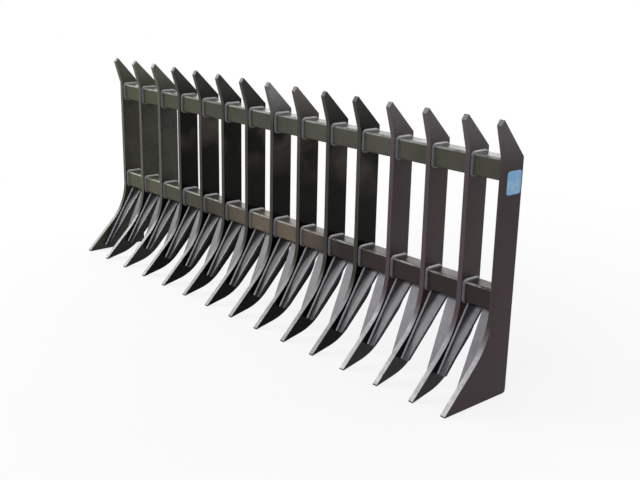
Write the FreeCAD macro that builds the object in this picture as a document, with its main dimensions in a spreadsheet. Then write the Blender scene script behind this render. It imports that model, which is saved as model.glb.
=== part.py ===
import FreeCAD, Part
import math
import os
import Sketcher
from FreeCAD import Vector

os.makedirs("parts", exist_ok=True)
doc = FreeCAD.newDocument("root_rake")

# Driving dimensions in millimetres and degrees.
# Heights are above the ground and depths behind the front edge of the upright shanks.
# Rises are above the upper tube's top, and the hip's drop is below the lower tube's underside.
DIMENSIONS = {
    "tine_pitch": 173.5,
    "near_bay_pitch": 145,
    "plate_thickness": 20,
    "tube_size": 75,
    "tube_wall": 6,
    "tube_corner": 9,
    "tube_inner_corner": 4,
    "tube_setback": 12,
    "rear_cover": 10,
    "lower_tube_height": 316,
    "tube_spacing": 449,
    "hole_clearance": 0.5,
    "claw_reach": 220,
    "claw_angle": 45,
    "claw_radius": 275,
    "tip_flat": 5,
    "hip_drop": 46,
    "hip_radius": 150,
    "hip_angle": 46,
    "belly_angle": 12.5,
    "belly_radius": 205,
    "bend_rise": 6,
    "shoulder_rise": 17,
    "end_shoulder_rise": 2,
    "horn_rise": 131,
    "horn_lean": 19,
    "nose_drop": 18,
    "nose_lean": 32,
    "heel_radius": 12,
    "wing_thickness": 12,
    "wing_angle": 31.5,
    "wing_seat": 50,
    "wing_foot_height": 73,
    "end_wing_foot_height": 16,
    "wing_foot_width": 30,
    "end_wing_foot_width": 24,
    "wing_gap": 2,
    "weld_leg": 8,
    "snipe_clearance": 2,
}
TINE_COUNT = 15
INTERIOR_TINES = range(2, TINE_COUNT)

sheet = doc.addObject("Spreadsheet::Sheet", "Sizes")
for row, (alias, value) in enumerate(DIMENSIONS.items(), start=1):
    sheet.set(f"A{row}", alias)
    sheet.set(f"B{row}", str(value))
    sheet.setAlias(f"B{row}", alias)
doc.recompute()

# Sizes that several pieces share, worked out from the driving dimensions.
SHANK_DEPTH = "(Sizes.tube_setback + Sizes.tube_size + Sizes.rear_cover)"
SHANK_FRONT = f"((Sizes.claw_reach - {SHANK_DEPTH}) / 2)"
TUBE_LENGTH = f"({TINE_COUNT - 2} * Sizes.tine_pitch + Sizes.near_bay_pitch - Sizes.plate_thickness)"
LEFT_END = f"(-{TUBE_LENGTH} / 2)"
WING_SNIPE = "(Sizes.weld_leg + Sizes.snipe_clearance)"
TUBE_TOP = "(Sizes.lower_tube_height + Sizes.tube_spacing + Sizes.tube_size)"
HIP_HEIGHT = "(Sizes.lower_tube_height - Sizes.hip_drop)"
TUBE_HEIGHTS = {
    "lower": "Sizes.lower_tube_height",
    "upper": "(Sizes.lower_tube_height + Sizes.tube_spacing)",
}


def size(alias):
    return float(sheet.get(alias))


def right_face(tine):
    """Position of a tine's right-hand face, counting tines from the left end."""
    if tine == TINE_COUNT:
        return f"({LEFT_END} + {TUBE_LENGTH} + Sizes.plate_thickness)"
    return f"({LEFT_END} + {tine - 1} * Sizes.tine_pitch)"


def new_body(label):
    body = doc.addObject("PartDesign::Body", label)
    body.Label = label
    return body


def new_sketch(body, role, name):
    sketch = body.newObject("Sketcher::SketchObject", name)
    plane = next(item for item in body.Origin.OriginFeatures if item.Role == role)
    sketch.AttachmentSupport = (plane, [""])
    sketch.MapMode = "FlatFace"
    return sketch


def pad(body, sketch, name, length, reverse=False):
    feature = body.newObject("PartDesign::Pad", name)
    feature.Profile = sketch
    feature.setExpression("Length", length)
    feature.Reversed = reverse
    return feature


def pocket_through(body, sketch, name):
    feature = body.newObject("PartDesign::Pocket", name)
    feature.Profile = sketch
    feature.Type = "ThroughAll"
    feature.Midplane = True
    return feature


def place(item, across, depth, height):
    item.setExpression(".Placement.Base.x", across)
    item.setExpression(".Placement.Base.y", depth)
    item.setExpression(".Placement.Base.z", height)


def bind(sketch, constraint, name, expression):
    number = sketch.addConstraint(constraint)
    sketch.renameConstraint(number, name)
    sketch.setExpression(f"Constraints.{name}", expression)


def pin(sketch, line, end, name, across, upward):
    """Hold one end of a line at signed distances from the sketch's origin."""
    at = sketch.getPoint(line, end)
    for axis, kind, start, expression in (("x", "DistanceX", at.x, across), ("y", "DistanceY", at.y, upward)):
        bind(sketch, Sketcher.Constraint(kind, -1, 1, line, end, start), f"{name}_{axis}", expression)


def line(sketch, first, last):
    return sketch.addGeometry(Part.LineSegment(Vector(*first, 0), Vector(*last, 0)), False)


def arc(sketch, centre, radius, begin, end):
    circle = Part.Circle(Vector(*centre, 0), Vector(0, 0, 1), radius)
    return sketch.addGeometry(Part.ArcOfCircle(circle, begin, end), False)


def join(sketch, *pairs):
    for first, first_end, last, last_end in pairs:
        sketch.addConstraint(Sketcher.Constraint("Coincident", first, first_end, last, last_end))


def blend(sketch, *pairs):
    for first, first_end, last, last_end in pairs:
        sketch.addConstraint(Sketcher.Constraint("Tangent", first, first_end, last, last_end))


def polygon(sketch, corners):
    """Closed outline of straight lines; each corner is a name, its place and the two expressions for it."""
    places = [place for _, place, _ in corners]
    edges = [line(sketch, first, last) for first, last in zip(places, places[1:] + places[:1])]
    for edge, following in zip(edges, edges[1:] + edges[:1]):
        join(sketch, (edge, 2, following, 1))
    for edge, (name, _, expressions) in zip(edges, corners):
        pin(sketch, edge, 1, name, *expressions)


def rounded_square(sketch, name, start, side, radius, start_text, side_text, radius_text):
    """Square with rounded corners, its lower left corner at start."""
    left, low = start
    right, high = left + side, low + side
    sides = [
        line(sketch, (left + radius, low), (right - radius, low)),
        line(sketch, (right, low + radius), (right, high - radius)),
        line(sketch, (right - radius, high), (left + radius, high)),
        line(sketch, (left, high - radius), (left, low + radius)),
    ]
    centres = (
        (right - radius, low + radius),
        (right - radius, high - radius),
        (left + radius, high - radius),
        (left + radius, low + radius),
    )
    quarter = math.pi / 2
    corners = [arc(sketch, centre, radius, quarter * (i - 1), quarter * i) for i, centre in enumerate(centres)]
    for i in range(4):
        blend(sketch, (sides[i], 2, corners[i], 1), (corners[i], 2, sides[(i + 1) % 4], 1))
    for i in (0, 2):
        sketch.addConstraint(Sketcher.Constraint("Horizontal", sides[i]))
        sketch.addConstraint(Sketcher.Constraint("Vertical", sides[i + 1]))
    for corner in corners[1:]:
        sketch.addConstraint(Sketcher.Constraint("Equal", corners[0], corner))
    bind(sketch, Sketcher.Constraint("Radius", corners[0], radius), f"{name}_radius", radius_text)
    across = Sketcher.Constraint("DistanceX", sides[3], 1, sides[1], 1, side)
    upward = Sketcher.Constraint("DistanceY", sides[0], 1, sides[2], 1, side)
    bind(sketch, across, f"{name}_width", side_text)
    bind(sketch, upward, f"{name}_height", side_text)
    bind(sketch, Sketcher.Constraint("DistanceX", -1, 1, sides[3], 1, left), f"{name}_left", start_text[0])
    bind(sketch, Sketcher.Constraint("DistanceY", -1, 1, sides[0], 1, low), f"{name}_low", start_text[1])


def tube(level):
    """Square hollow section that runs between the inner faces of the two end plates."""
    body = new_body(f"{level}_tube")
    sketch = new_sketch(body, "YZ_Plane", f"{level}_tube_section")
    setback, wall = size("tube_setback"), size("tube_wall")
    rounded_square(
        sketch, "outer", (setback, 0), size("tube_size"), size("tube_corner"),
        ("Sizes.tube_setback", "0"), "Sizes.tube_size", "Sizes.tube_corner",
    )
    rounded_square(
        sketch, "inner", (setback + wall, wall), size("tube_size") - 2 * wall, size("tube_inner_corner"),
        ("Sizes.tube_setback + Sizes.tube_wall", "Sizes.tube_wall"),
        "Sizes.tube_size - 2 * Sizes.tube_wall", "Sizes.tube_inner_corner",
    )
    pad(body, sketch, f"{level}_tube_run", TUBE_LENGTH)
    place(body, LEFT_END, SHANK_FRONT, TUBE_HEIGHTS[level])
    return body


def front_and_horn(sketch, shoulder):
    """Claw edge, upright front and horn of a tine; returns the claw line and the back's upright line."""
    reach, depth = size("claw_reach"), size("tube_setback") + size("tube_size") + size("rear_cover")
    slope, radius = math.radians(size("claw_angle")), size("claw_radius")
    tip = (-reach, size("tip_flat"))
    meet = tip[1] + reach * math.tan(slope)
    length = radius * math.tan((math.pi / 2 - slope) / 2)
    claw_end = (-length * math.cos(slope), meet - length * math.sin(slope))
    tube_top = size("lower_tube_height") + size("tube_spacing") + size("tube_size")
    bend = (0, tube_top + size("bend_rise"))
    horn = (-size("horn_lean"), tube_top + size("horn_rise"))
    nose = (-size("nose_lean"), horn[1] - size("nose_drop"))
    back_top = (depth, tube_top + size(shoulder))

    claw = line(sketch, tip, claw_end)
    claw_bend = arc(sketch, (-radius, meet + length), radius, slope - math.pi / 2, 0)
    front = line(sketch, (0, meet + length), bend)
    nose_edge = line(sketch, bend, nose)
    crown = line(sketch, nose, horn)
    rear_slope = line(sketch, horn, back_top)
    back = line(sketch, back_top, (depth, size("lower_tube_height")))
    join(sketch, (front, 2, nose_edge, 1), (nose_edge, 2, crown, 1), (crown, 2, rear_slope, 1), (rear_slope, 2, back, 1))
    blend(sketch, (claw, 2, claw_bend, 1), (claw_bend, 2, front, 1))
    sketch.addConstraint(Sketcher.Constraint("Vertical", front))
    sketch.addConstraint(Sketcher.Constraint("Vertical", back))
    bind(sketch, Sketcher.Constraint("Radius", claw_bend, radius), "claw_radius", "Sizes.claw_radius")
    bind(sketch, Sketcher.Constraint("Angle", -1, 1, claw, 1, slope), "claw_angle", "Sizes.claw_angle")
    pin(sketch, claw, 1, "tip", "-Sizes.claw_reach", "Sizes.tip_flat")
    pin(sketch, nose_edge, 1, "bend", "0", f"{TUBE_TOP} + Sizes.bend_rise")
    pin(sketch, crown, 1, "nose", "-Sizes.nose_lean", f"{TUBE_TOP} + Sizes.horn_rise - Sizes.nose_drop")
    pin(sketch, rear_slope, 1, "horn", "-Sizes.horn_lean", f"{TUBE_TOP} + Sizes.horn_rise")
    pin(sketch, back, 1, "shoulder", SHANK_DEPTH, f"{TUBE_TOP} + Sizes.{shoulder}")
    return claw, back, depth


def curved_belly(sketch, claw, back, depth):
    """Back of an interior tine: the hip turns forward and the belly flattens towards the tip."""
    hip_angle, belly_angle = math.radians(size("hip_angle")), math.radians(size("belly_angle"))
    hip_radius, belly_radius = size("hip_radius"), size("belly_radius")
    toe = (-size("claw_reach"), 0)
    hip_height = size("lower_tube_height") - size("hip_drop")
    hip_centre = (depth - hip_radius, hip_height)
    hip_end = (
        hip_centre[0] + hip_radius * math.sin(hip_angle),
        hip_centre[1] - hip_radius * math.cos(hip_angle),
    )
    fall, rise = math.tan(hip_angle), math.tan(belly_angle)
    meet_depth = (toe[1] - hip_end[1] + hip_end[0] * fall - toe[0] * rise) / (fall - rise)
    meet_height = hip_end[1] + (meet_depth - hip_end[0]) * fall
    length = belly_radius * math.tan((hip_angle - belly_angle) / 2)
    rump_end = (meet_depth + length * math.cos(hip_angle), meet_height + length * math.sin(hip_angle))
    belly_start = (meet_depth - length * math.cos(belly_angle), meet_height - length * math.sin(belly_angle))
    belly_centre = (
        rump_end[0] - belly_radius * math.sin(hip_angle),
        rump_end[1] + belly_radius * math.cos(hip_angle),
    )

    quarter = math.pi / 2
    hip = arc(sketch, hip_centre, hip_radius, hip_angle - quarter, 0)
    rump = line(sketch, hip_end, rump_end)
    belly_bend = arc(sketch, belly_centre, belly_radius, belly_angle - quarter, hip_angle - quarter)
    belly = line(sketch, belly_start, toe)
    tip_edge = line(sketch, toe, (-size("claw_reach"), size("tip_flat")))
    blend(sketch, (back, 2, hip, 2), (hip, 1, rump, 1), (rump, 2, belly_bend, 2), (belly_bend, 1, belly, 1))
    join(sketch, (belly, 2, tip_edge, 1), (tip_edge, 2, claw, 1))
    bind(sketch, Sketcher.Constraint("DistanceY", -1, 1, hip, 2, hip_height), "hip_height", HIP_HEIGHT)
    bind(sketch, Sketcher.Constraint("Radius", hip, hip_radius), "hip_radius", "Sizes.hip_radius")
    bind(sketch, Sketcher.Constraint("Radius", belly_bend, belly_radius), "belly_radius", "Sizes.belly_radius")
    bind(sketch, Sketcher.Constraint("Angle", -1, 1, rump, 2, hip_angle), "hip_angle", "Sizes.hip_angle")
    bind(sketch, Sketcher.Constraint("Angle", -1, 1, belly, 2, belly_angle), "belly_angle", "Sizes.belly_angle")
    pin(sketch, belly, 2, "toe", "-Sizes.claw_reach", "0")


def level_foot(sketch, claw, back, depth):
    """Foot of an end plate: upright back, rounded heel and a level edge along the ground."""
    radius = size("heel_radius")
    toe = (-size("claw_reach"), 0)
    heel = arc(sketch, (depth - radius, radius), radius, -math.pi / 2, 0)
    sole = line(sketch, (depth - radius, 0), toe)
    tip_edge = line(sketch, toe, (-size("claw_reach"), size("tip_flat")))
    blend(sketch, (back, 2, heel, 2), (heel, 1, sole, 1))
    join(sketch, (sole, 2, tip_edge, 1), (tip_edge, 2, claw, 1))
    sketch.addConstraint(Sketcher.Constraint("Horizontal", sole))
    bind(sketch, Sketcher.Constraint("Radius", heel, radius), "heel_radius", "Sizes.heel_radius")
    pin(sketch, sole, 2, "toe", "-Sizes.claw_reach", "0")


def tube_hole(body, level):
    """Square opening that the tube passes through, a named clearance larger all round."""
    sketch = new_sketch(body, "YZ_Plane", f"{body.Label}_{level}_hole_outline")
    gap = size("hole_clearance")
    height = size("lower_tube_height") + (size("tube_spacing") if level == "upper" else 0)
    rounded_square(
        sketch, "hole", (size("tube_setback") - gap, height - gap), size("tube_size") + 2 * gap,
        size("tube_corner") + gap,
        ("Sizes.tube_setback - Sizes.hole_clearance", f"{TUBE_HEIGHTS[level]} - Sizes.hole_clearance"),
        "Sizes.tube_size + 2 * Sizes.hole_clearance", "Sizes.tube_corner + Sizes.hole_clearance",
    )
    pocket_through(body, sketch, f"{body.Label}_{level}_hole")


def interior_tine(number):
    """Claw-shaped tine with a curved belly, threaded on both tubes."""
    body = new_body(f"tine_{number:02d}")
    sketch = new_sketch(body, "YZ_Plane", f"{body.Label}_outline")
    curved_belly(sketch, *front_and_horn(sketch, "shoulder_rise"))
    pad(body, sketch, f"{body.Label}_plate", "Sizes.plate_thickness")
    doc.recompute()
    for level in TUBE_HEIGHTS:
        tube_hole(body, level)
    place(body, f"{right_face(number)} - Sizes.plate_thickness", SHANK_FRONT, "0")
    return body


def end_plate(label, number):
    """Outermost tine: its foot runs level to a heel, and it closes the ends of both tubes."""
    body = new_body(label)
    sketch = new_sketch(body, "YZ_Plane", f"{label}_outline")
    level_foot(sketch, *front_and_horn(sketch, "end_shoulder_rise"))
    pad(body, sketch, f"{label}_plate", "Sizes.plate_thickness")
    place(body, f"{right_face(number)} - Sizes.plate_thickness", SHANK_FRONT, "0")
    return body


def wing(tine, side):
    """Tapered gusset that slopes from the lower tube's underside forward to the claw."""
    sign = 1 if side == "right" else -1
    bay = tine if side == "right" else tine - 1
    is_end = tine in (1, TINE_COUNT)
    pitch = "near_bay_pitch" if bay == TINE_COUNT - 1 else "tine_pitch"
    foot_height = "end_wing_foot_height" if is_end else "wing_foot_height"
    foot_width = "end_wing_foot_width" if is_end else "wing_foot_width"

    angle = math.radians(size("wing_angle"))
    drop = size("lower_tube_height") - size(foot_height)
    seat = size("wing_seat")
    run = drop * math.tan(angle)
    level_thickness = size("wing_thickness") / math.cos(angle)
    drop_text = f"(Sizes.lower_tube_height - Sizes.{foot_height})"
    run_text = f"({drop_text} * tan(Sizes.wing_angle * 1 deg))"
    thickness_text = "(Sizes.wing_thickness / cos(Sizes.wing_angle * 1 deg))"

    body = new_body(f"wing_{tine:02d}_{side}")
    section = new_sketch(body, "YZ_Plane", f"{body.Label}_section")
    foot_level = f"-{drop_text}"
    polygon(section, [
        ("front_top", (seat, 0), ("Sizes.wing_seat", "0")),
        ("back_top", (seat + level_thickness, 0), (f"Sizes.wing_seat + {thickness_text}", "0")),
        ("back_foot", (seat + level_thickness - run, -drop),
         (f"Sizes.wing_seat + {thickness_text} - {run_text}", foot_level)),
        ("front_foot", (seat - run, -drop), (f"Sizes.wing_seat - {run_text}", foot_level)),
    ])
    width = (size(pitch) - size("plate_thickness") - size("wing_gap")) / 2
    width_text = f"((Sizes.{pitch} - Sizes.plate_thickness - Sizes.wing_gap) / 2)"
    pad(body, section, f"{body.Label}_plate", width_text, reverse=sign < 0)
    doc.recompute()

    flip = "" if sign > 0 else "-"
    foot = size(foot_width)
    snipe = size("weld_leg") + size("snipe_clearance")
    free_edge = new_sketch(body, "XZ_Plane", f"{body.Label}_free_edge")
    polygon(free_edge, [
        ("top", (sign * width, 0), (f"{flip}{width_text}", "0")),
        ("outer", (sign * width, -drop), (f"{flip}{width_text}", foot_level)),
        ("foot", (sign * foot, -drop), (f"{flip}Sizes.{foot_width}", foot_level)),
    ])
    pocket_through(body, free_edge, f"{body.Label}_taper")
    inner_corner = new_sketch(body, "XZ_Plane", f"{body.Label}_inner_corner")
    polygon(inner_corner, [
        ("corner", (0, 0), ("0", "0")),
        ("along", (sign * snipe, 0), (f"{flip}{WING_SNIPE}", "0")),
        ("down", (0, -snipe), ("0", f"-{WING_SNIPE}")),
    ])
    pocket_through(body, inner_corner, f"{body.Label}_snipe")
    across = right_face(tine) if side == "right" else f"{right_face(tine)} - Sizes.plate_thickness"
    place(body, across, SHANK_FRONT, "Sizes.lower_tube_height")
    return body


def shifted_sketch(body, role, name, offset):
    """Sketch on a plane parallel to one of the body's origin planes."""
    sketch = new_sketch(body, role, name)
    sketch.setExpression(".AttachmentOffset.Base.z", offset)
    return sketch


def repeat(body, name, features, count):
    """Copies features along the tubes, one tine pitch apart."""
    pattern = body.newObject("PartDesign::LinearPattern", name)
    pattern.Originals = features
    axis = next(item for item in body.Origin.OriginFeatures if item.Role == "X_Axis")
    pattern.Direction = (axis, [""])
    pattern.setExpression("Length", f"{count - 1} * Sizes.tine_pitch")
    pattern.Occurrences = count
    body.Tip = pattern
    doc.recompute()


def tube_bead(body, name, face, toward_left):
    """Fillet weld round a square tube where it meets one face of a tine, as a pad and its core."""
    leg, side, setback = size("weld_leg"), size("tube_size"), size("tube_setback")
    near, far = "(Sizes.tube_setback - Sizes.weld_leg)", "(Sizes.tube_setback + Sizes.tube_size + Sizes.weld_leg)"
    low, high = "-Sizes.weld_leg", "(Sizes.tube_size + Sizes.weld_leg)"
    rim = shifted_sketch(body, "YZ_Plane", f"{name}_rim", face)
    polygon(rim, [
        ("front_low", (setback - leg, -leg), (near, low)),
        ("back_low", (setback + side + leg, -leg), (far, low)),
        ("back_high", (setback + side + leg, side + leg), (far, high)),
        ("front_high", (setback - leg, side + leg), (near, high)),
    ])
    bead = pad(body, rim, name, "Sizes.weld_leg", reverse=toward_left)
    bead.TaperAngle = -45
    doc.recompute()
    inside = shifted_sketch(body, "YZ_Plane", f"{name}_inside", face)
    back = "(Sizes.tube_setback + Sizes.tube_size)"
    polygon(inside, [
        ("front_low", (setback, 0), ("Sizes.tube_setback", "0")),
        ("back_low", (setback + side, 0), (back, "0")),
        ("back_high", (setback + side, side), (back, "Sizes.tube_size")),
        ("front_high", (setback, side), ("Sizes.tube_setback", "Sizes.tube_size")),
    ])
    core = body.newObject("PartDesign::Pocket", f"{name}_core")
    core.Profile = inside
    core.setExpression("Length", "Sizes.weld_leg")
    core.Reversed = not toward_left
    doc.recompute()
    return [bead, core]


def tube_welds(level):
    """The beads that hold one tube: both faces of every interior tine, the inner faces of the end plates."""
    body = new_body(f"{level}_tube_welds")
    body.AllowCompound = True
    right_side = tube_bead(body, f"{level}_bead_right", "0", False)
    repeat(body, f"{level}_beads_right", right_side, TINE_COUNT - 1)
    left_side = tube_bead(body, f"{level}_bead_left", "Sizes.tine_pitch - Sizes.plate_thickness", True)
    repeat(body, f"{level}_beads_left", left_side, TINE_COUNT - 2)
    tube_bead(body, f"{level}_bead_end", TUBE_LENGTH, True)
    place(body, LEFT_END, SHANK_FRONT, TUBE_HEIGHTS[level])
    return body


def wing_bead(body, name, face, sign, foot_height):
    """Fillet weld down the front of a wing where it meets its tine."""
    slope = math.tan(math.radians(size("wing_angle")))
    leg, seat = size("weld_leg"), size("wing_seat")
    snipe = leg + size("snipe_clearance")
    drop = size("lower_tube_height") - size(foot_height)
    slope_text = "tan(Sizes.wing_angle * 1 deg)"
    reach_text = "(Sizes.weld_leg / cos(Sizes.wing_angle * 1 deg))"
    reach = leg / math.cos(math.radians(size("wing_angle")))
    flip = "" if sign > 0 else "-"
    sections = []
    for place_name, depth_down, depth_text in (
        ("top", snipe, WING_SNIPE),
        ("foot", drop, f"(Sizes.lower_tube_height - Sizes.{foot_height})"),
    ):
        sketch = shifted_sketch(body, "XY_Plane", f"{name}_{place_name}", f"-{depth_text}")
        front = seat - depth_down * slope
        front_text = f"(Sizes.wing_seat - {depth_text} * {slope_text})"
        polygon(sketch, [
            ("root", (face[0], front), (face[1], front_text)),
            ("wing", (face[0] + sign * leg, front), (f"{face[1]} + {flip}Sizes.weld_leg", front_text)),
            ("tine", (face[0], front - reach), (face[1], f"{front_text} - {reach_text}")),
        ])
        sections.append(sketch)
    bead = body.newObject("PartDesign::AdditiveLoft", name)
    bead.Profile = sections[0]
    bead.Sections = [sections[1]]
    bead.Ruled = True
    doc.recompute()
    return [bead]


def wing_welds():
    """The beads that join every wing to its tine."""
    body = new_body("wing_welds")
    body.AllowCompound = True
    second_left = size("tine_pitch") - size("plate_thickness")
    second_left_text = "(Sizes.tine_pitch - Sizes.plate_thickness)"
    run = (TINE_COUNT - 2) * size("tine_pitch") + size("near_bay_pitch") - size("plate_thickness")
    wing_bead(body, "end_bead_right", (0, "0"), 1, "end_wing_foot_height")
    right_side = wing_bead(body, "bead_right", (size("tine_pitch"), "Sizes.tine_pitch"), 1, "wing_foot_height")
    repeat(body, "beads_right", right_side, TINE_COUNT - 2)
    left_side = wing_bead(body, "bead_left", (second_left, second_left_text), -1, "wing_foot_height")
    repeat(body, "beads_left", left_side, TINE_COUNT - 2)
    wing_bead(body, "end_bead_left", (run, TUBE_LENGTH), -1, "end_wing_foot_height")
    place(body, LEFT_END, SHANK_FRONT, "Sizes.lower_tube_height")
    return body


nodes = [tube(level) for level in TUBE_HEIGHTS]
nodes.append(end_plate("end_plate_left", 1))
nodes.extend(interior_tine(number) for number in INTERIOR_TINES)
nodes.append(end_plate("end_plate_right", TINE_COUNT))
for tine in range(1, TINE_COUNT):
    nodes.append(wing(tine, "right"))
    nodes.append(wing(tine + 1, "left"))
nodes.extend(tube_welds(level) for level in TUBE_HEIGHTS)
nodes.append(wing_welds())
doc.recompute()

for item in doc.Objects:
    if "Invalid" in item.State or "Error" in item.State:
        raise RuntimeError(f"{item.Label} did not build: {item.State}")
for node in nodes:
    if node.Shape.isNull() or not node.Shape.isValid():
        raise RuntimeError(f"{node.Label} has no valid solid")
    print(node.Label, round(node.Shape.Volume), len(node.Shape.Solids), node.Shape.BoundBox)
for node in nodes:
    node.Shape.exportStep(f"parts/{node.Label}.step")
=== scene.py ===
import math
import bpy
from mathutils import Matrix, Vector


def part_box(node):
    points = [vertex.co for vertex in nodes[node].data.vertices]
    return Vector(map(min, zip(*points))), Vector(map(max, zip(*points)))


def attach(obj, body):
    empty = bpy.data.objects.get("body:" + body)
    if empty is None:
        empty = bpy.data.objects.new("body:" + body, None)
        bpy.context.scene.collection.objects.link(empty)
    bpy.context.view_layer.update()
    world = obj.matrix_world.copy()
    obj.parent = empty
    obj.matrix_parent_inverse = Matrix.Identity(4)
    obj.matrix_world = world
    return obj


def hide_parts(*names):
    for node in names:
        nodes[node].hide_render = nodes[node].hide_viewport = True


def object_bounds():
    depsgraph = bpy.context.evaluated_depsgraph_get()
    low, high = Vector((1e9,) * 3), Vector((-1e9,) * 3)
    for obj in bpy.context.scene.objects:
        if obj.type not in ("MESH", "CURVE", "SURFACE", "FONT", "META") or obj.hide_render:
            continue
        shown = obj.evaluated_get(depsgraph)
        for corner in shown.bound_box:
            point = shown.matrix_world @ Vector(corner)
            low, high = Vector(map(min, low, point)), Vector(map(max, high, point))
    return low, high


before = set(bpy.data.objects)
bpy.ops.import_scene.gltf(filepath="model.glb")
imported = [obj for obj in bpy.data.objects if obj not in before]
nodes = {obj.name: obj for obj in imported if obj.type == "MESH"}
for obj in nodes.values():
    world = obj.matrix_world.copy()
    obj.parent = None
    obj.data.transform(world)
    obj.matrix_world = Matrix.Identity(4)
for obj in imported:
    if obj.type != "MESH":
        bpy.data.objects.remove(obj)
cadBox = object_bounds()
print("frame loaded:", len(nodes), "nodes")

# Places on the rake in metres, as the part's drawing has them.
rake = {
    "pitch": 0.1735,
    "tubeSide": 0.075,
    "tubeCorner": 0.009,
    "tubeFront": 0.0735,
    "wingSlope": 31.5,
    "wingSeat": 0.1115,
    "wingTop": 0.316,
    "wingFoot": 0.073,
    "outerWingFoot": 0.016,
}
tubeBottoms = {"lower": 0.316, "upper": 0.765}

# The left-hand and right-hand side of every tine, from the left end plate to the right one.
tineNames = sorted(nodeName for nodeName in nodes if nodeName.startswith("tine_"))
leftFaces = []
rightFaces = []
for nodeName in ["end_plate_left"] + tineNames + ["end_plate_right"]:
    low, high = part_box(nodeName)
    leftFaces.append(low.x)
    rightFaces.append(high.x)


# Camera where the photograph was taken from.
cameraSettings = {
    "place": (3.0066, -2.3356, 1.4115),
    "heading": 48.169,
    "tilt": -16.138,
    "roll": 1.2215,
    "lens": 52.41,
    "sensor": 36.0,
}
bpy.ops.object.camera_add(location=cameraSettings["place"])
camera = bpy.context.object
camera.name = "photoCamera"
turn = Matrix.Rotation(math.radians(cameraSettings["heading"]), 4, "Z")
nod = Matrix.Rotation(math.radians(90 + cameraSettings["tilt"]), 4, "X")
lean = Matrix.Rotation(math.radians(cameraSettings["roll"]), 4, "Z")
camera.matrix_world = Matrix.Translation(cameraSettings["place"]) @ turn @ nod @ lean
camera.data.lens = cameraSettings["lens"]
camera.data.sensor_width = cameraSettings["sensor"]
bpy.context.scene.camera = camera
bpy.context.scene.view_settings.view_transform = "Standard"
print("camera set")


# Soft boxes. Each lamp has a radiance, and its power follows from its size.
lamps = {
    "keySoftbox": {
        "place": (-4.75, -2.6, 3.1), "aim": (0.0, 0.0, 0.4), "size": (5.4, 3.0), "radiance": 7.0,
    },
    "rimSoftbox": {
        "place": (-3.9, 3.4, 1.9), "aim": (0.0, 0.1, 0.6), "size": (6.0, 1.8), "radiance": 2.0,
    },
    "frontSoftbox": {
        "place": (1.2, -4.6, 4.0), "aim": (0.2, 0.0, 0.3), "size": (3.0, 1.6), "radiance": 4.0,
    },
    "backSoftbox": {
        "place": (2.2, 3.6, 4.2), "aim": (0.3, 0.1, 0.5), "size": (3.0, 1.8), "radiance": 4.0,
    },
}
for lampName, lamp in lamps.items():
    width, height = lamp["size"]
    bpy.ops.object.light_add(type="AREA", location=lamp["place"])
    softbox = bpy.context.object
    softbox.name = lampName
    softbox.data.shape = "RECTANGLE"
    softbox.data.size = width
    softbox.data.size_y = height
    softbox.data.energy = lamp["radiance"] * math.pi * width * height
    beam = Vector(lamp["aim"]) - Vector(lamp["place"])
    softbox.rotation_euler = beam.to_track_quat("-Z", "Y").to_euler()
print("lamps set:", len(lamps))


def newMaterial(name):
    material = bpy.data.materials.new(name)
    material.use_nodes = True
    tree = material.node_tree
    tree.nodes.clear()
    output = tree.nodes.new("ShaderNodeOutputMaterial")
    return material, tree, output


def addNode(tree, kind, **inputs):
    node = tree.nodes.new(kind)
    for key, value in inputs.items():
        node.inputs[key.replace("_", " ")].default_value = value
    return node


# In these helpers a value is a number or a colour, or else the socket of another node.
# A Mix node's colours are its inputs 6 and 7 and its output 2.
def mixColour(tree, factor, first, second):
    mix = tree.nodes.new("ShaderNodeMix")
    mix.data_type = "RGBA"
    tree.links.new(factor, mix.inputs["Factor"])
    for socket, value in ((mix.inputs[6], first), (mix.inputs[7], second)):
        if isinstance(value, tuple):
            socket.default_value = value
        else:
            tree.links.new(value, socket)
    return mix.outputs[2]


def mathNode(tree, operation, *values, clamp=False):
    node = tree.nodes.new("ShaderNodeMath")
    node.operation = operation
    node.use_clamp = clamp
    for socket, value in zip(node.inputs, values):
        if isinstance(value, (int, float)):
            socket.default_value = value
        else:
            tree.links.new(value, socket)
    return node.outputs[0]


def product(tree, first, *others, clamp=False):
    for other in others[:-1]:
        first = mathNode(tree, "MULTIPLY", first, other)
    return mathNode(tree, "MULTIPLY", first, others[-1], clamp=clamp)


def ranged(tree, value, low, high, toLow=0.0, toHigh=1.0):
    limits = {"From_Min": low, "From_Max": high, "To_Min": toLow, "To_Max": toHigh}
    node = addNode(tree, "ShaderNodeMapRange", **limits)
    tree.links.new(value, node.inputs["Value"])
    return node.outputs["Result"]


def noiseOn(tree, place, scale, detail, roughness=0.5):
    node = addNode(tree, "ShaderNodeTexNoise", Scale=scale, Detail=detail, Roughness=roughness)
    tree.links.new(place, node.inputs["Vector"])
    return node.outputs[0]


# 1 for camera, glossy and see-through rays, which meet the background as white, and 0 for others.
def seenDirectly(tree):
    rays = tree.nodes.new("ShaderNodeLightPath").outputs
    seen = mathNode(tree, "MAXIMUM", rays["Is Camera Ray"], rays["Is Glossy Ray"])
    return mathNode(tree, "MAXIMUM", seen, rays["Is Transmission Ray"])


# World: white where it is seen, a low even fill elsewhere.
worldSettings = {"fill": 0.32, "seen": 1.0}
world = bpy.data.worlds.new("studioWorld")
bpy.context.scene.world = world
world.use_nodes = True
worldTree = world.node_tree
worldTree.nodes.clear()
worldOutput = worldTree.nodes.new("ShaderNodeOutputWorld")
worldLight = addNode(worldTree, "ShaderNodeBackground", Color=(1, 1, 1, 1))
strength = ranged(worldTree, seenDirectly(worldTree), 0.0, 1.0, worldSettings["fill"], worldSettings["seen"])
worldTree.links.new(strength, worldLight.inputs["Strength"])
worldTree.links.new(worldLight.outputs["Background"], worldOutput.inputs["Surface"])

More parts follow.
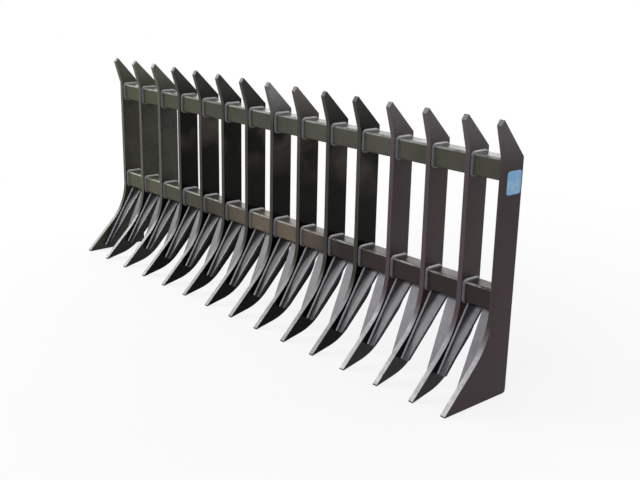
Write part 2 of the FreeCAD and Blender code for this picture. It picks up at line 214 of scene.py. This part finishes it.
# Floor: pale, with the rake's soft shadow on it, and glowing white where it is seen far from the rake.
floorSettings = {
    "size": 160.0,
    "height": -0.0005,
    "colour": (0.82, 0.82, 0.82, 1),
    "whiteShare": 0.84,
    "near": 1.2,
    "far": 3.0,
}
bpy.ops.object.select_all(action="DESELECT")
bpy.ops.mesh.primitive_plane_add(size=floorSettings["size"], location=(0, 0, floorSettings["height"]))
floor = bpy.context.object
floor.name = "studioFloor"
bpy.ops.object.transform_apply(location=True, rotation=True, scale=True)
floorMaterial, floorTree, floorOutput = newMaterial("paleFloor")
floorPlace = floorTree.nodes.new("ShaderNodeTexCoord").outputs["Object"]
distance = floorTree.nodes.new("ShaderNodeVectorMath")
distance.operation = "LENGTH"
floorTree.links.new(floorPlace, distance.inputs[0])
glow = ranged(floorTree, distance.outputs["Value"], floorSettings["near"], floorSettings["far"],
              floorSettings["whiteShare"], 1.0)
floorSurface = addNode(floorTree, "ShaderNodeBsdfDiffuse", Color=floorSettings["colour"])
floorGlow = addNode(floorTree, "ShaderNodeEmission", Color=(1, 1, 1, 1), Strength=1.0)
floorMix = floorTree.nodes.new("ShaderNodeMixShader")
floorTree.links.new(product(floorTree, seenDirectly(floorTree), glow), floorMix.inputs[0])
floorTree.links.new(floorSurface.outputs[0], floorMix.inputs[1])
floorTree.links.new(floorGlow.outputs[0], floorMix.inputs[2])
floorTree.links.new(floorMix.outputs[0], floorOutput.inputs["Surface"])
floor.data.materials.append(floorMaterial)
print("floor and world set")


# Black enamel: one recipe. These are its common values, and each group of pieces changes some.
enamelBase = {
    "black": (0.008, 0.0078, 0.0075, 1),
    "specular": 0.30,
    "gloss": 0.16,
    "dull": 0.40,
    # A film of dust whose tones are partly painted reflection. It ends at a height, below which the enamel
    # stays dark as painted shade, and it may change its tone along the rake.
    "dust": 0.25,
    "evenDust": 0.4,
    "dustScale": 2.2,
    "cloudShare": 0.75,
    "lowestDust": -1.0,
    "dustFade": 0.06,
    "dustTone": (0.060, 0.048, 0.050, 1),
    "farTone": None,
    "midTone": None,
    # A soft paler area below the upper tube: a painted reflection.
    "haze": 0.0,
    "hazeTone": (0.16, 0.125, 0.105, 1),
    # A paler tone towards the tops of the horns.
    "hornDust": 0.0,
    "leastHornDust": 0.6,
    "hornTone": (0.085, 0.083, 0.080, 1),
    # The narrow front edges, with a painted reflection tone.
    "frontShare": 0.0,
    "frontTone": (0.040, 0.039, 0.031, 1),
    # Pale dust and painted light from above on what faces up.
    "settled": 0.9,
    "settledTone": (0.40, 0.39, 0.41, 1),
    "wing": None,
    # A painted highlight along a tube's front top corner.
    "corner": 0.0,
    "cornerTone": (0.42, 0.42, 0.40, 1),
    # Worn edges with a painted highlight.
    "edgeTone": (0.12, 0.118, 0.115, 1),
    "edgeWidth": 0.0018,
    "edgeShare": 0.5,
    "edgeSamples": 4,
    # Scuffed tips.
    "tipTone": (0.80, 0.79, 0.78, 1),
    "tipHeight": 0.24,
    "tipCurve": 0.6,
    "tipShare": 0.0,
    # The paint's own surface: broad waves and fine orange peel.
    "waveScale": 9.0,
    "waveDepth": 0.0006,
    "peelScale": 420.0,
    "peelDepth": 0.00008,
    "bumpDetail": 2.0,
}

# Noises that the enamels share: the part of each one's range that counts, and what that becomes.
enamelNoises = {
    "cloud": {"detail": 6.0, "roughness": 0.6, "range": (0.35, 0.68)},
    "speck": {"scale": 38.0, "detail": 5.0, "roughness": 0.7, "range": (0.42, 0.72)},
    "haze": {"scale": 5.5, "detail": 3.0, "range": (0.42, 0.60)},
    "settled": {"scale": 14.0, "detail": 6.0, "roughness": 0.65, "range": (0.25, 0.7), "becomes": (0.6, 1.0)},
    "corner": {"scale": 20.0, "detail": 5.0, "roughness": 0.7, "range": (0.35, 0.55)},
    "edge": {"scale": 24.0, "detail": 4.0, "roughness": 0.6, "range": (0.35, 0.6)},
    "tip": {"scale": 30.0, "detail": 6.0, "roughness": 0.7, "range": (0.3, 0.6), "becomes": (0.35, 1.0)},
    "smear": {"scale": 6.0, "detail": 3.0, "range": (0.3, 0.7), "becomes": (-0.04, 0.06)},
}

# Where each effect starts and is full: along the rake, in height, or in the way a face is turned.
enamelZones = {
    "farAlong": (-0.9, 0.5),
    "midAlong": (0.42, 0.15),
    "hazeHeight": (0.56, 0.74),
    "hazeEnd": (0.86, 0.80),
    "hornHeight": (0.80, 0.93),
    "frontTurn": (-0.75, -0.95),
    "upTurn": (0.25, 0.95),
    "cornerUp": (0.30, 0.60),
    "cornerFront": (-0.20, -0.45),
    "edgeTurn": (0.99, 0.80),
    "tipTurn": (0.4, 0.6),
}

# On a wing, painted shade lies beside its tine, over a wider band near the tube and towards the left end of
# the rake, where the wing's tone is also darker as painted shade. Past it lie dust and painted light from
# above, and the rim of its free edge has a painted highlight.
wingDust = {
    "shelter": 0.85,
    "widths": (0.030, 0.0758),
    "darkHeights": (0.10, 0.31),
    "darkShares": (0.15, 0.45),
    "darkAlong": (-0.1, 1.0),
    "darkAdded": (0.42, 0.0),
    "darkFade": 0.18,
    "leftAlong": (-1.1, 0.8),
    "leftTone": (0.07, 0.069, 0.078, 1),
    "rimStart": (0.80, 0.92),
    "rimEnd": (1.14, 1.04),
    "rimTone": (0.55, 0.54, 0.58, 1),
}


# The sockets that the enamel's effects depend on: the place on the piece, and the way it faces.
def surfaceSockets(tree):
    place = tree.nodes.new("ShaderNodeTexCoord").outputs["Object"]
    normal = tree.nodes.new("ShaderNodeNewGeometry").outputs["Normal"]
    places = tree.nodes.new("ShaderNodeSeparateXYZ")
    turns = tree.nodes.new("ShaderNodeSeparateXYZ")
    tree.links.new(place, places.inputs[0])
    tree.links.new(normal, turns.inputs[0])
    return {
        "place": place,
        "along": places.outputs["X"],
        "height": places.outputs["Z"],
        "normal": normal,
        "front": turns.outputs["Y"],
        "up": turns.outputs["Z"],
    }


def enamelNoise(tree, surface, name, **changes):
    noise = dict(enamelNoises[name], **changes)
    value = noiseOn(tree, surface["place"], noise["scale"], noise["detail"], noise.get("roughness", 0.5))
    return ranged(tree, value, *noise["range"], *noise.get("becomes", (0.0, 1.0)))


# The film of dust and painted reflection and its tone, the painted reflection on the shanks, the paler horns
# and the painted reflection on the front edges.
def dustLayer(tree, surface, paint):
    cloud = enamelNoise(tree, surface, "cloud", scale=paint["dustScale"])
    speck = enamelNoise(tree, surface, "speck")
    film = mathNode(tree, "ADD", product(tree, cloud, paint["cloudShare"]),
                    product(tree, speck, 1 - paint["cloudShare"]))
    film = mathNode(tree, "ADD", product(tree, film, 1 - paint["evenDust"]), paint["evenDust"])
    film = product(tree, film, paint["dust"], clamp=True)
    lowest = paint["lowestDust"]
    film = product(tree, film, ranged(tree, surface["height"], lowest, lowest + paint["dustFade"]))

    dustTone = paint["dustTone"]
    # The tone along the rake and towards its middle is painted reflection.
    if paint["farTone"]:
        far = ranged(tree, surface["along"], *enamelZones["farAlong"])
        dustTone = mixColour(tree, far, dustTone, paint["farTone"])
    if paint["midTone"]:
        fromMiddle = mathNode(tree, "ABSOLUTE", surface["along"])
        middle = ranged(tree, fromMiddle, *enamelZones["midAlong"])
        dustTone = mixColour(tree, middle, dustTone, paint["midTone"])
    colour = mixColour(tree, film, paint["black"], dustTone)

    # A painted reflection below the upper tube.
    if paint["haze"] > 0:
        haze = ranged(tree, surface["height"], *enamelZones["hazeHeight"], 0.0, paint["haze"])
        haze = product(tree, haze, enamelNoise(tree, surface, "haze"),
                       ranged(tree, surface["height"], *enamelZones["hazeEnd"]))
        colour = mixColour(tree, haze, colour, paint["hazeTone"])
    # A paler tone towards the horn tops.
    if paint["hornDust"] > 0:
        horn = ranged(tree, surface["height"], *enamelZones["hornHeight"], 0.0, paint["hornDust"])
        horn = product(tree, horn, ranged(tree, cloud, 0.0, 1.0, paint["leastHornDust"], 1.0))
        colour = mixColour(tree, horn, colour, paint["hornTone"])
    # A painted reflection tone on the front-facing faces.
    if paint["frontShare"] > 0:
        front = ranged(tree, surface["front"], *enamelZones["frontTurn"], 0.0, paint["frontShare"])
        colour = mixColour(tree, front, colour, paint["frontTone"])
    return film, colour


# How much of the dust and painted light from above lies on a wing, after the painted shade beside its tine,
# and its tone there with the painted highlight on its rim.
def wingLayer(tree, surface, wing, upward, tone):
    fromFace = mathNode(tree, "SUBTRACT", surface["along"], rightFaces[0])
    fromTine = mathNode(tree, "FLOORED_MODULO", fromFace, rake["pitch"])
    width = ranged(tree, surface["height"], rake["wingFoot"], rake["wingTop"], *wing["widths"])
    across = mathNode(tree, "DIVIDE", fromTine, width)
    darkShare = ranged(tree, surface["height"], *wing["darkHeights"], *wing["darkShares"])
    moreAtLeft = ranged(tree, surface["along"], *wing["darkAlong"], *wing["darkAdded"])
    darkShare = mathNode(tree, "ADD", darkShare, moreAtLeft)
    pastDark = mathNode(tree, "SUBTRACT", across, darkShare)
    # Painted shade beside the tine, wider near the tube and at the left end of the rake.
    upward = product(tree, upward, ranged(tree, pastDark, 0.0, wing["darkFade"], 1 - wing["shelter"], 1.0))
    # A darker tone at the left end of the rake, as painted shade.
    tone = mixColour(tree, ranged(tree, surface["along"], *wing["leftAlong"]), wing["leftTone"], tone)
    # A painted highlight along the rim of the wing's free edge.
    rim = product(tree, ranged(tree, across, *wing["rimStart"]), ranged(tree, across, *wing["rimEnd"]))
    return upward, mixColour(tree, rim, tone, wing["rimTone"])


# Pale dust and painted light from above on what faces up, and the painted highlight along the tubes' front
# top corner.
def settledLayer(tree, surface, paint, colour):
    # Pale dust and painted light from above on upward faces.
    upward = ranged(tree, surface["up"], *enamelZones["upTurn"])
    upward = product(tree, upward, enamelNoise(tree, surface, "settled"), paint["settled"], clamp=True)
    tone = paint["settledTone"]
    if paint["wing"]:
        upward, tone = wingLayer(tree, surface, paint["wing"], upward, tone)
    colour = mixColour(tree, upward, colour, tone)
    # A painted highlight along the tubes' front top corner.
    if paint["corner"] > 0:
        line = product(
            tree, ranged(tree, surface["up"], *enamelZones["cornerUp"]),
            ranged(tree, surface["front"], *enamelZones["cornerFront"]),
            enamelNoise(tree, surface, "corner"), paint["corner"], clamp=True,
        )
        colour = mixColour(tree, line, colour, paint["cornerTone"])
    return colour


# Worn edges with a painted highlight, where the rounded normal leaves the true one, and scuffed tips.
def wornLayer(tree, surface, paint, colour, rounded):
    same = tree.nodes.new("ShaderNodeVectorMath")
    same.operation = "DOT_PRODUCT"
    tree.links.new(rounded, same.inputs[0])
    tree.links.new(surface["normal"], same.inputs[1])
    # Worn edges with a painted highlight.
    edge = ranged(tree, same.outputs["Value"], *enamelZones["edgeTurn"])
    edge = product(tree, edge, enamelNoise(tree, surface, "edge"), paint["edgeShare"], clamp=True)
    colour = mixColour(tree, edge, colour, paint["edgeTone"])
    if paint["tipShare"] > 0:
        low = ranged(tree, surface["height"], paint["tipHeight"], 0.0)
        low = mathNode(tree, "POWER", low, paint["tipCurve"])
        tip = product(tree, low, ranged(tree, surface["up"], *enamelZones["tipTurn"]),
                      enamelNoise(tree, surface, "tip"), paint["tipShare"], clamp=True)
        colour = mixColour(tree, tip, colour, paint["tipTone"])
    return colour


def makeEnamel(name, **changes):
    paint = dict(enamelBase, **changes)
    material, tree, output = newMaterial(name)
    surface = surfaceSockets(tree)
    bevel = addNode(tree, "ShaderNodeBevel", Radius=paint["edgeWidth"])
    bevel.samples = paint["edgeSamples"]
    normal = bevel.outputs[0]
    film, colour = dustLayer(tree, surface, paint)
    colour = settledLayer(tree, surface, paint, colour)
    colour = wornLayer(tree, surface, paint, colour, normal)
    rough = ranged(tree, film, 0.0, 1.0, paint["gloss"], paint["dull"])
    rough = mathNode(tree, "ADD", rough, enamelNoise(tree, surface, "smear"))
    for kind in ("wave", "peel"):
        bump = addNode(tree, "ShaderNodeBump", Distance=paint[kind + "Depth"], Strength=1.0)
        height = noiseOn(tree, surface["place"], paint[kind + "Scale"], paint["bumpDetail"])
        tree.links.new(height, bump.inputs["Height"])
        tree.links.new(normal, bump.inputs["Normal"])
        normal = bump.outputs[0]
    shader = addNode(tree, "ShaderNodeBsdfPrincipled", Specular_IOR_Level=paint["specular"])
    tree.links.new(colour, shader.inputs["Base Color"])
    tree.links.new(rough, shader.inputs["Roughness"])
    tree.links.new(normal, shader.inputs["Normal"])
    tree.links.new(shader.outputs[0], output.inputs["Surface"])
    return material


# What the two left-hand tines and the left end plate have in common, and then the middle tines.
leftHorns = {
    "specular": 0.2, "dustScale": 5.0, "hornDust": 0.9, "hornTone": (0.125, 0.135, 0.095, 1),
    "frontTone": (0.060, 0.062, 0.042, 1), "frontShare": 0.8,
}
# The middle tines are kept darkest, as painted reflection.
middleTines = {
    "black": (0.002, 0.0022, 0.0017, 1), "specular": 0.08,
    "dust": 0.25, "evenDust": 0.0, "dustScale": 4.0, "lowestDust": 0.42, "dustTone": (0.050, 0.044, 0.034, 1),
    "haze": 0.6, "hornDust": 0.75, "hornTone": (0.090, 0.088, 0.084, 1),
    "frontTone": (0.050, 0.048, 0.036, 1), "frontShare": 0.8,
    "settledTone": (0.30, 0.295, 0.31, 1), "tipTone": (0.52, 0.51, 0.50, 1), "tipShare": 0.75,
}
tinePaints = {
    "left": makeEnamel(
        "enamelLeftTines", **leftHorns, dust=0.85, evenDust=0.25, dustTone=(0.088, 0.094, 0.066, 1),
        lowestDust=0.32, tipShare=0.7, settledTone=(0.22, 0.218, 0.22, 1), tipTone=(0.42, 0.41, 0.40, 1),
    ),
    "middle": makeEnamel("enamelMiddleTines", **middleTines),
    "right": makeEnamel(
        "enamelRightTines", specular=0.2, dust=0.85, evenDust=0.75, dustTone=(0.084, 0.051, 0.056, 1),
        lowestDust=0.20, hornDust=0.95, hornTone=(0.19, 0.18, 0.185, 1),
        frontTone=(0.072, 0.050, 0.057, 1), frontShare=0.7, tipShare=0.8,
    ),
}
nodePaints = {
    "end_plate_left": makeEnamel(
        "enamelLeftPlate", **leftHorns, dust=0.7, evenDust=0.4, dustTone=(0.080, 0.074, 0.050, 1),
        tipShare=0.5, settledTone=(0.12, 0.115, 0.10, 1), tipTone=(0.25, 0.24, 0.20, 1),
    ),
    "end_plate_right": makeEnamel(
        "enamelEndPlate", specular=0.2, dust=0.85, evenDust=0.75, dustTone=(0.044, 0.016, 0.024, 1),
        hornDust=0.8, hornTone=(0.18, 0.17, 0.185, 1), frontShare=0.5, tipShare=0.85,
    ),
    # The tubes' tones along the rake are partly painted reflection, and their top corners carry a painted
    # highlight.
    "lower_tube": makeEnamel(
        "enamelLowerTube", specular=0.10, dust=0.85, evenDust=0.5, dustScale=3.0,
        dustTone=(0.085, 0.088, 0.050, 1), farTone=(0.042, 0.028, 0.027, 1), midTone=(0.18, 0.14, 0.10, 1),
        settled=0.1, settledTone=(0.20, 0.185, 0.18, 1), corner=0.8,
    ),
    "upper_tube": makeEnamel(
        "enamelUpperTube", specular=0.16, dust=0.85, evenDust=0.6, dustScale=3.0,
        dustTone=(0.048, 0.054, 0.020, 1), farTone=(0.078, 0.078, 0.056, 1),
        settled=0.35, settledTone=(0.30, 0.295, 0.30, 1), corner=0.8,
    ),
}
paleHorns = {"tine_08": (0.36, 0.36, 0.36, 1), "tine_09": (0.24, 0.21, 0.19, 1)}
for nodeName, tone in paleHorns.items():
    values = dict(middleTines, hornDust=0.95, hornTone=tone)
    nodePaints[nodeName] = makeEnamel("enamelTine%d" % int(nodeName[-2:]), **values)
# The wings' pale upward faces are dust and painted light from above.
wingPaint = makeEnamel(
    "enamelWings", specular=0.14, dust=0.4, dustScale=5.0, dustTone=(0.06, 0.058, 0.066, 1),
    settled=1.0, settledTone=(0.56, 0.54, 0.60, 1), wing=wingDust,
)
# The beads' pale lilac grey base, dust and tops are painted reflection on their convex faces; the enamel
# itself is black.
beadPaint = makeEnamel(
    "enamelBeads", black=(0.13, 0.125, 0.155, 1), gloss=0.14, dust=0.4, dustTone=(0.24, 0.24, 0.27, 1),
    settled=1.0, settledTone=(0.75, 0.74, 0.76, 1), edgeShare=0.0,
)
# The wing beads' pale colour is a painted highlight along their ridges.
wingBeadPaint = makeEnamel(
    "enamelWingBeads", black=(0.40, 0.39, 0.44, 1), gloss=0.12, dust=0.5, dustScale=30.0,
    dustTone=(0.60, 0.59, 0.63, 1), settled=1.0, settledTone=(0.85, 0.84, 0.86, 1), edgeShare=0.0,
)

# Tines 2 and 3 have the left-hand paint, 4 to 11 the middle one and 12 to 14 the right-hand one. The three
# paints differ in tone partly as dust and partly as painted reflection.
firstMiddleTine, firstRightTine = 4, 12
for nodeName, piece in nodes.items():
    side = "left"
    if nodeName in tineNames and int(nodeName[-2:]) >= firstMiddleTine:
        side = "middle" if int(nodeName[-2:]) < firstRightTine else "right"
    paint = wingPaint if nodeName.startswith("wing_") else nodePaints.get(nodeName, tinePaints[side])
    piece.data.materials.clear()
    piece.data.materials.append(paint)
print("enamel on", len(nodes), "nodes")


smoothAngle = math.radians(50)


def selectOnly(*pieces):
    bpy.ops.object.select_all(action="DESELECT")
    for piece in pieces:
        piece.select_set(True)
    bpy.context.view_layer.objects.active = pieces[0]


def finishPiece(piece, name, paint):
    piece.name = name
    piece.data.name = name
    piece.data.materials.clear()
    piece.data.materials.append(paint)
    selectOnly(piece)
    bpy.ops.object.transform_apply(location=True, rotation=True, scale=True)
    bpy.ops.object.shade_smooth_by_angle(angle=smoothAngle)
    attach(piece, "root")


# Weld beads: each starts a little inside the corner it fills, and its surface is rippled.
beadSettings = {
    "radius": 0.0105,
    "inset": 0.0025,
    "step": 0.002,
    "ripple": 0.0007,
    "unevenness": 0.0016,
    "lumpSize": 0.016,
}


# Leaves only the vertices or edges selected that a test picks, in object mode.
def selectWhere(parts, picked):
    bpy.ops.object.mode_set(mode="EDIT")
    bpy.ops.mesh.select_all(action="DESELECT")
    bpy.ops.object.mode_set(mode="OBJECT")
    for part in parts:
        part.select = picked(part)


# Raises every second station of a bead.
def ripple(piece, stationOf):
    selectOnly(piece)
    bpy.ops.object.mode_set(mode="EDIT")
    bpy.ops.mesh.select_mode(type="VERT")
    bpy.ops.object.mode_set(mode="OBJECT")
    selectWhere(piece.data.vertices, lambda vertex: stationOf(vertex) % 2 == 1)
    bpy.ops.object.mode_set(mode="EDIT")
    bpy.ops.transform.shrink_fatten(value=beadSettings["ripple"])
    bpy.ops.object.mode_set(mode="OBJECT")


# Round a tube: a rounded square loop given a round section. A curve's section has four corners
# at resolution 0 and two more for each step of it.
ringSettings = {"cornerSteps": 6, "sectionCorners": 8}


def tubeRing(level):
    side = rake["tubeSide"] - 2 * beadSettings["inset"]
    centre = (0.0, rake["tubeFront"] + rake["tubeSide"] / 2, tubeBottoms[level] + rake["tubeSide"] / 2)
    bpy.ops.object.select_all(action="DESELECT")
    bpy.ops.mesh.primitive_plane_add(size=side, location=centre, rotation=(0, math.pi / 2, 0))
    ring = bpy.context.object
    bpy.ops.object.mode_set(mode="EDIT")
    bpy.ops.mesh.select_all(action="SELECT")
    bpy.ops.mesh.bevel(offset=rake["tubeCorner"], segments=ringSettings["cornerSteps"], affect="VERTICES")
    bpy.ops.mesh.select_all(action="SELECT")
    bpy.ops.mesh.delete(type="ONLY_FACE")
    bpy.ops.mesh.select_mode(type="EDGE")
    bpy.ops.object.mode_set(mode="OBJECT")

    def isStraight(edge):
        first, last = (ring.data.vertices[i].co for i in edge.vertices)
        return (first - last).length > side / 2

    selectWhere(ring.data.edges, isStraight)
    bpy.ops.object.mode_set(mode="EDIT")
    bpy.ops.mesh.subdivide(number_cuts=round((side - 2 * rake["tubeCorner"]) / beadSettings["step"]))
    bpy.ops.object.mode_set(mode="OBJECT")
    bpy.ops.object.convert(target="CURVE")
    ring = bpy.context.object
    ring.data.dimensions = "3D"
    ring.data.bevel_depth = beadSettings["radius"]
    ring.data.bevel_resolution = ringSettings["sectionCorners"] // 2 - 2
    bpy.ops.object.convert(target="MESH")
    ring = bpy.context.object
    ripple(ring, lambda vertex: vertex.index // ringSettings["sectionCorners"])
    return ring


# Down a wing, where it meets its tine: a long rod set into the corner, with narrowed ends.
wingBeadSettings = {"sectionCorners": 8, "radius": 0.0078, "endScale": 0.6, "endZone": 0.0001, "snipe": 0.010}


def wingRod(footHeight):
    slope = math.radians(rake["wingSlope"])
    top = rake["wingTop"] - wingBeadSettings["snipe"]
    length = (top - footHeight) / math.cos(slope)
    middle = (top + footHeight) / 2
    front = rake["wingSeat"] - (rake["wingTop"] - middle) * math.tan(slope)
    inset = beadSettings["inset"]
    centre = (0.0, front + inset * math.cos(slope), middle - inset * math.sin(slope))
    bpy.ops.object.select_all(action="DESELECT")
    bpy.ops.mesh.primitive_cylinder_add(
        vertices=wingBeadSettings["sectionCorners"], radius=wingBeadSettings["radius"], depth=length,
        location=centre, rotation=(-slope, 0, 0),
    )
    rod = bpy.context.object

    def isLong(edge):
        first, last = (rod.data.vertices[i].co for i in edge.vertices)
        return abs(first.z - last.z) > length / 2

    bpy.ops.object.mode_set(mode="EDIT")
    bpy.ops.mesh.select_mode(type="EDGE")
    bpy.ops.object.mode_set(mode="OBJECT")
    selectWhere(rod.data.edges, isLong)
    bpy.ops.object.mode_set(mode="EDIT")
    cuts = round(length / beadSettings["step"])
    bpy.ops.mesh.subdivide(number_cuts=cuts)
    bpy.ops.mesh.select_mode(type="VERT")
    bpy.ops.object.mode_set(mode="OBJECT")
    endStart = length / 2 - wingBeadSettings["endZone"]
    for end in (-1, 1):
        selectWhere(rod.data.vertices, lambda vertex: vertex.co.z * end > endStart)
        bpy.ops.object.mode_set(mode="EDIT")
        bpy.ops.transform.resize(value=(wingBeadSettings["endScale"],) * 3)
        bpy.ops.object.mode_set(mode="OBJECT")
    ripple(rod, lambda vertex: round((vertex.co.z / length + 0.5) * (cuts + 1)))
    return rod


# Copies a bead to places along the rake, and removes the first one.
def copiesAt(first, places):
    copies = []
    for along in places:
        twin = first.copy()
        twin.data = first.data.copy()
        bpy.context.scene.collection.objects.link(twin)
        twin.location = first.location + Vector((along, 0, 0))
        copies.append(twin)
    bpy.data.objects.remove(first)
    return copies


# Joins beads into one piece, roughens it and puts it in place of its CAD node.
def finishBeads(parts, name, paint, replaced):
    selectOnly(*parts)
    bpy.ops.object.join()
    beads = bpy.context.object
    finishPiece(beads, name, paint)
    lumps = bpy.data.textures.new(name + "Lumps", "CLOUDS")
    lumps.noise_scale = beadSettings["lumpSize"]
    displace = beads.modifiers.new("lumps", "DISPLACE")
    displace.texture = lumps
    displace.texture_coords = "LOCAL"
    displace.strength = beadSettings["unevenness"]
    bpy.ops.object.modifier_apply(modifier=displace.name)
    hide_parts(replaced)
    print(name, len(beads.data.polygons), "faces")


# Where beads run: on the side of each tine that faces a bay, a little inside it.
besideRight = [x - beadSettings["inset"] for x in rightFaces[:-1]]
besideLeft = [x + beadSettings["inset"] for x in leftFaces[1:]]
for level in tubeBottoms:
    rings = copiesAt(tubeRing(level), besideRight + besideLeft)
    finishBeads(rings, level + "_tube_beads", beadPaint, level + "_tube_welds")

rods = copiesAt(wingRod(rake["wingFoot"]), besideRight[1:] + besideLeft[:-1])
rods += copiesAt(wingRod(rake["outerWingFoot"]), (besideRight[0], besideLeft[-1]))
finishBeads(rods, "wing_beads", wingBeadPaint, "wing_welds")


# Plain blue patch on the outside of the right-hand end plate.
patchSettings = {
    "centre": (0.116, 0.760),
    "size": (0.074, 0.080),
    "corner": 0.012,
    "cornerSteps": 6,
    "margin": 0.002,
    "thickness": 0.0004,
    "blue": (0.24, 0.55, 0.92, 1),
    "pale": (0.66, 0.84, 0.98, 1),
    "roughness": 0.38,
    "fading": {"scale": 45.0, "detail": 5.0, "roughness": 0.6},
    "fadedRange": (0.45, 0.75),
    "mostFaded": 0.55,
    "creaseDepth": 0.0004,
    "creaseStrength": 0.8,
}
bpy.ops.object.select_all(action="DESELECT")
patchPlace = (rightFaces[-1] + patchSettings["thickness"], *patchSettings["centre"])
bpy.ops.mesh.primitive_plane_add(size=1, location=patchPlace, rotation=(0, math.pi / 2, 0))
patch = bpy.context.object
patch.scale = (patchSettings["size"][1], patchSettings["size"][0], 1)
bpy.ops.object.transform_apply(location=False, rotation=False, scale=True)
bpy.ops.object.mode_set(mode="EDIT")
bpy.ops.mesh.select_all(action="SELECT")
bpy.ops.mesh.bevel(offset=patchSettings["corner"], segments=patchSettings["cornerSteps"], affect="VERTICES")
bpy.ops.mesh.select_all(action="SELECT")
bpy.ops.mesh.inset(thickness=patchSettings["margin"])
bpy.ops.mesh.select_all(action="SELECT")
bpy.ops.mesh.extrude_region_move(TRANSFORM_OT_translate={"value": (-patchSettings["thickness"], 0, 0)})
bpy.ops.mesh.select_all(action="SELECT")
bpy.ops.mesh.normals_make_consistent(inside=False)
bpy.ops.object.mode_set(mode="OBJECT")
patchMaterial, patchTree, patchOutput = newMaterial("plainBluePatch")
patchOn = patchTree.nodes.new("ShaderNodeTexCoord").outputs["Object"]
fading = noiseOn(patchTree, patchOn, **patchSettings["fading"])
faded = ranged(patchTree, fading, *patchSettings["fadedRange"], 0.0, patchSettings["mostFaded"])
patchColour = mixColour(patchTree, faded, patchSettings["blue"], patchSettings["pale"])
crease = addNode(patchTree, "ShaderNodeBump", Distance=patchSettings["creaseDepth"],
                 Strength=patchSettings["creaseStrength"])
patchTree.links.new(fading, crease.inputs["Height"])
patchShader = addNode(patchTree, "ShaderNodeBsdfPrincipled", Roughness=patchSettings["roughness"])
patchTree.links.new(patchColour, patchShader.inputs["Base Color"])
patchTree.links.new(crease.outputs[0], patchShader.inputs["Normal"])
patchTree.links.new(patchShader.outputs[0], patchOutput.inputs["Surface"])
finishPiece(patch, "plain_patch", patchMaterial)
print("patch set")

low, high = cadBox
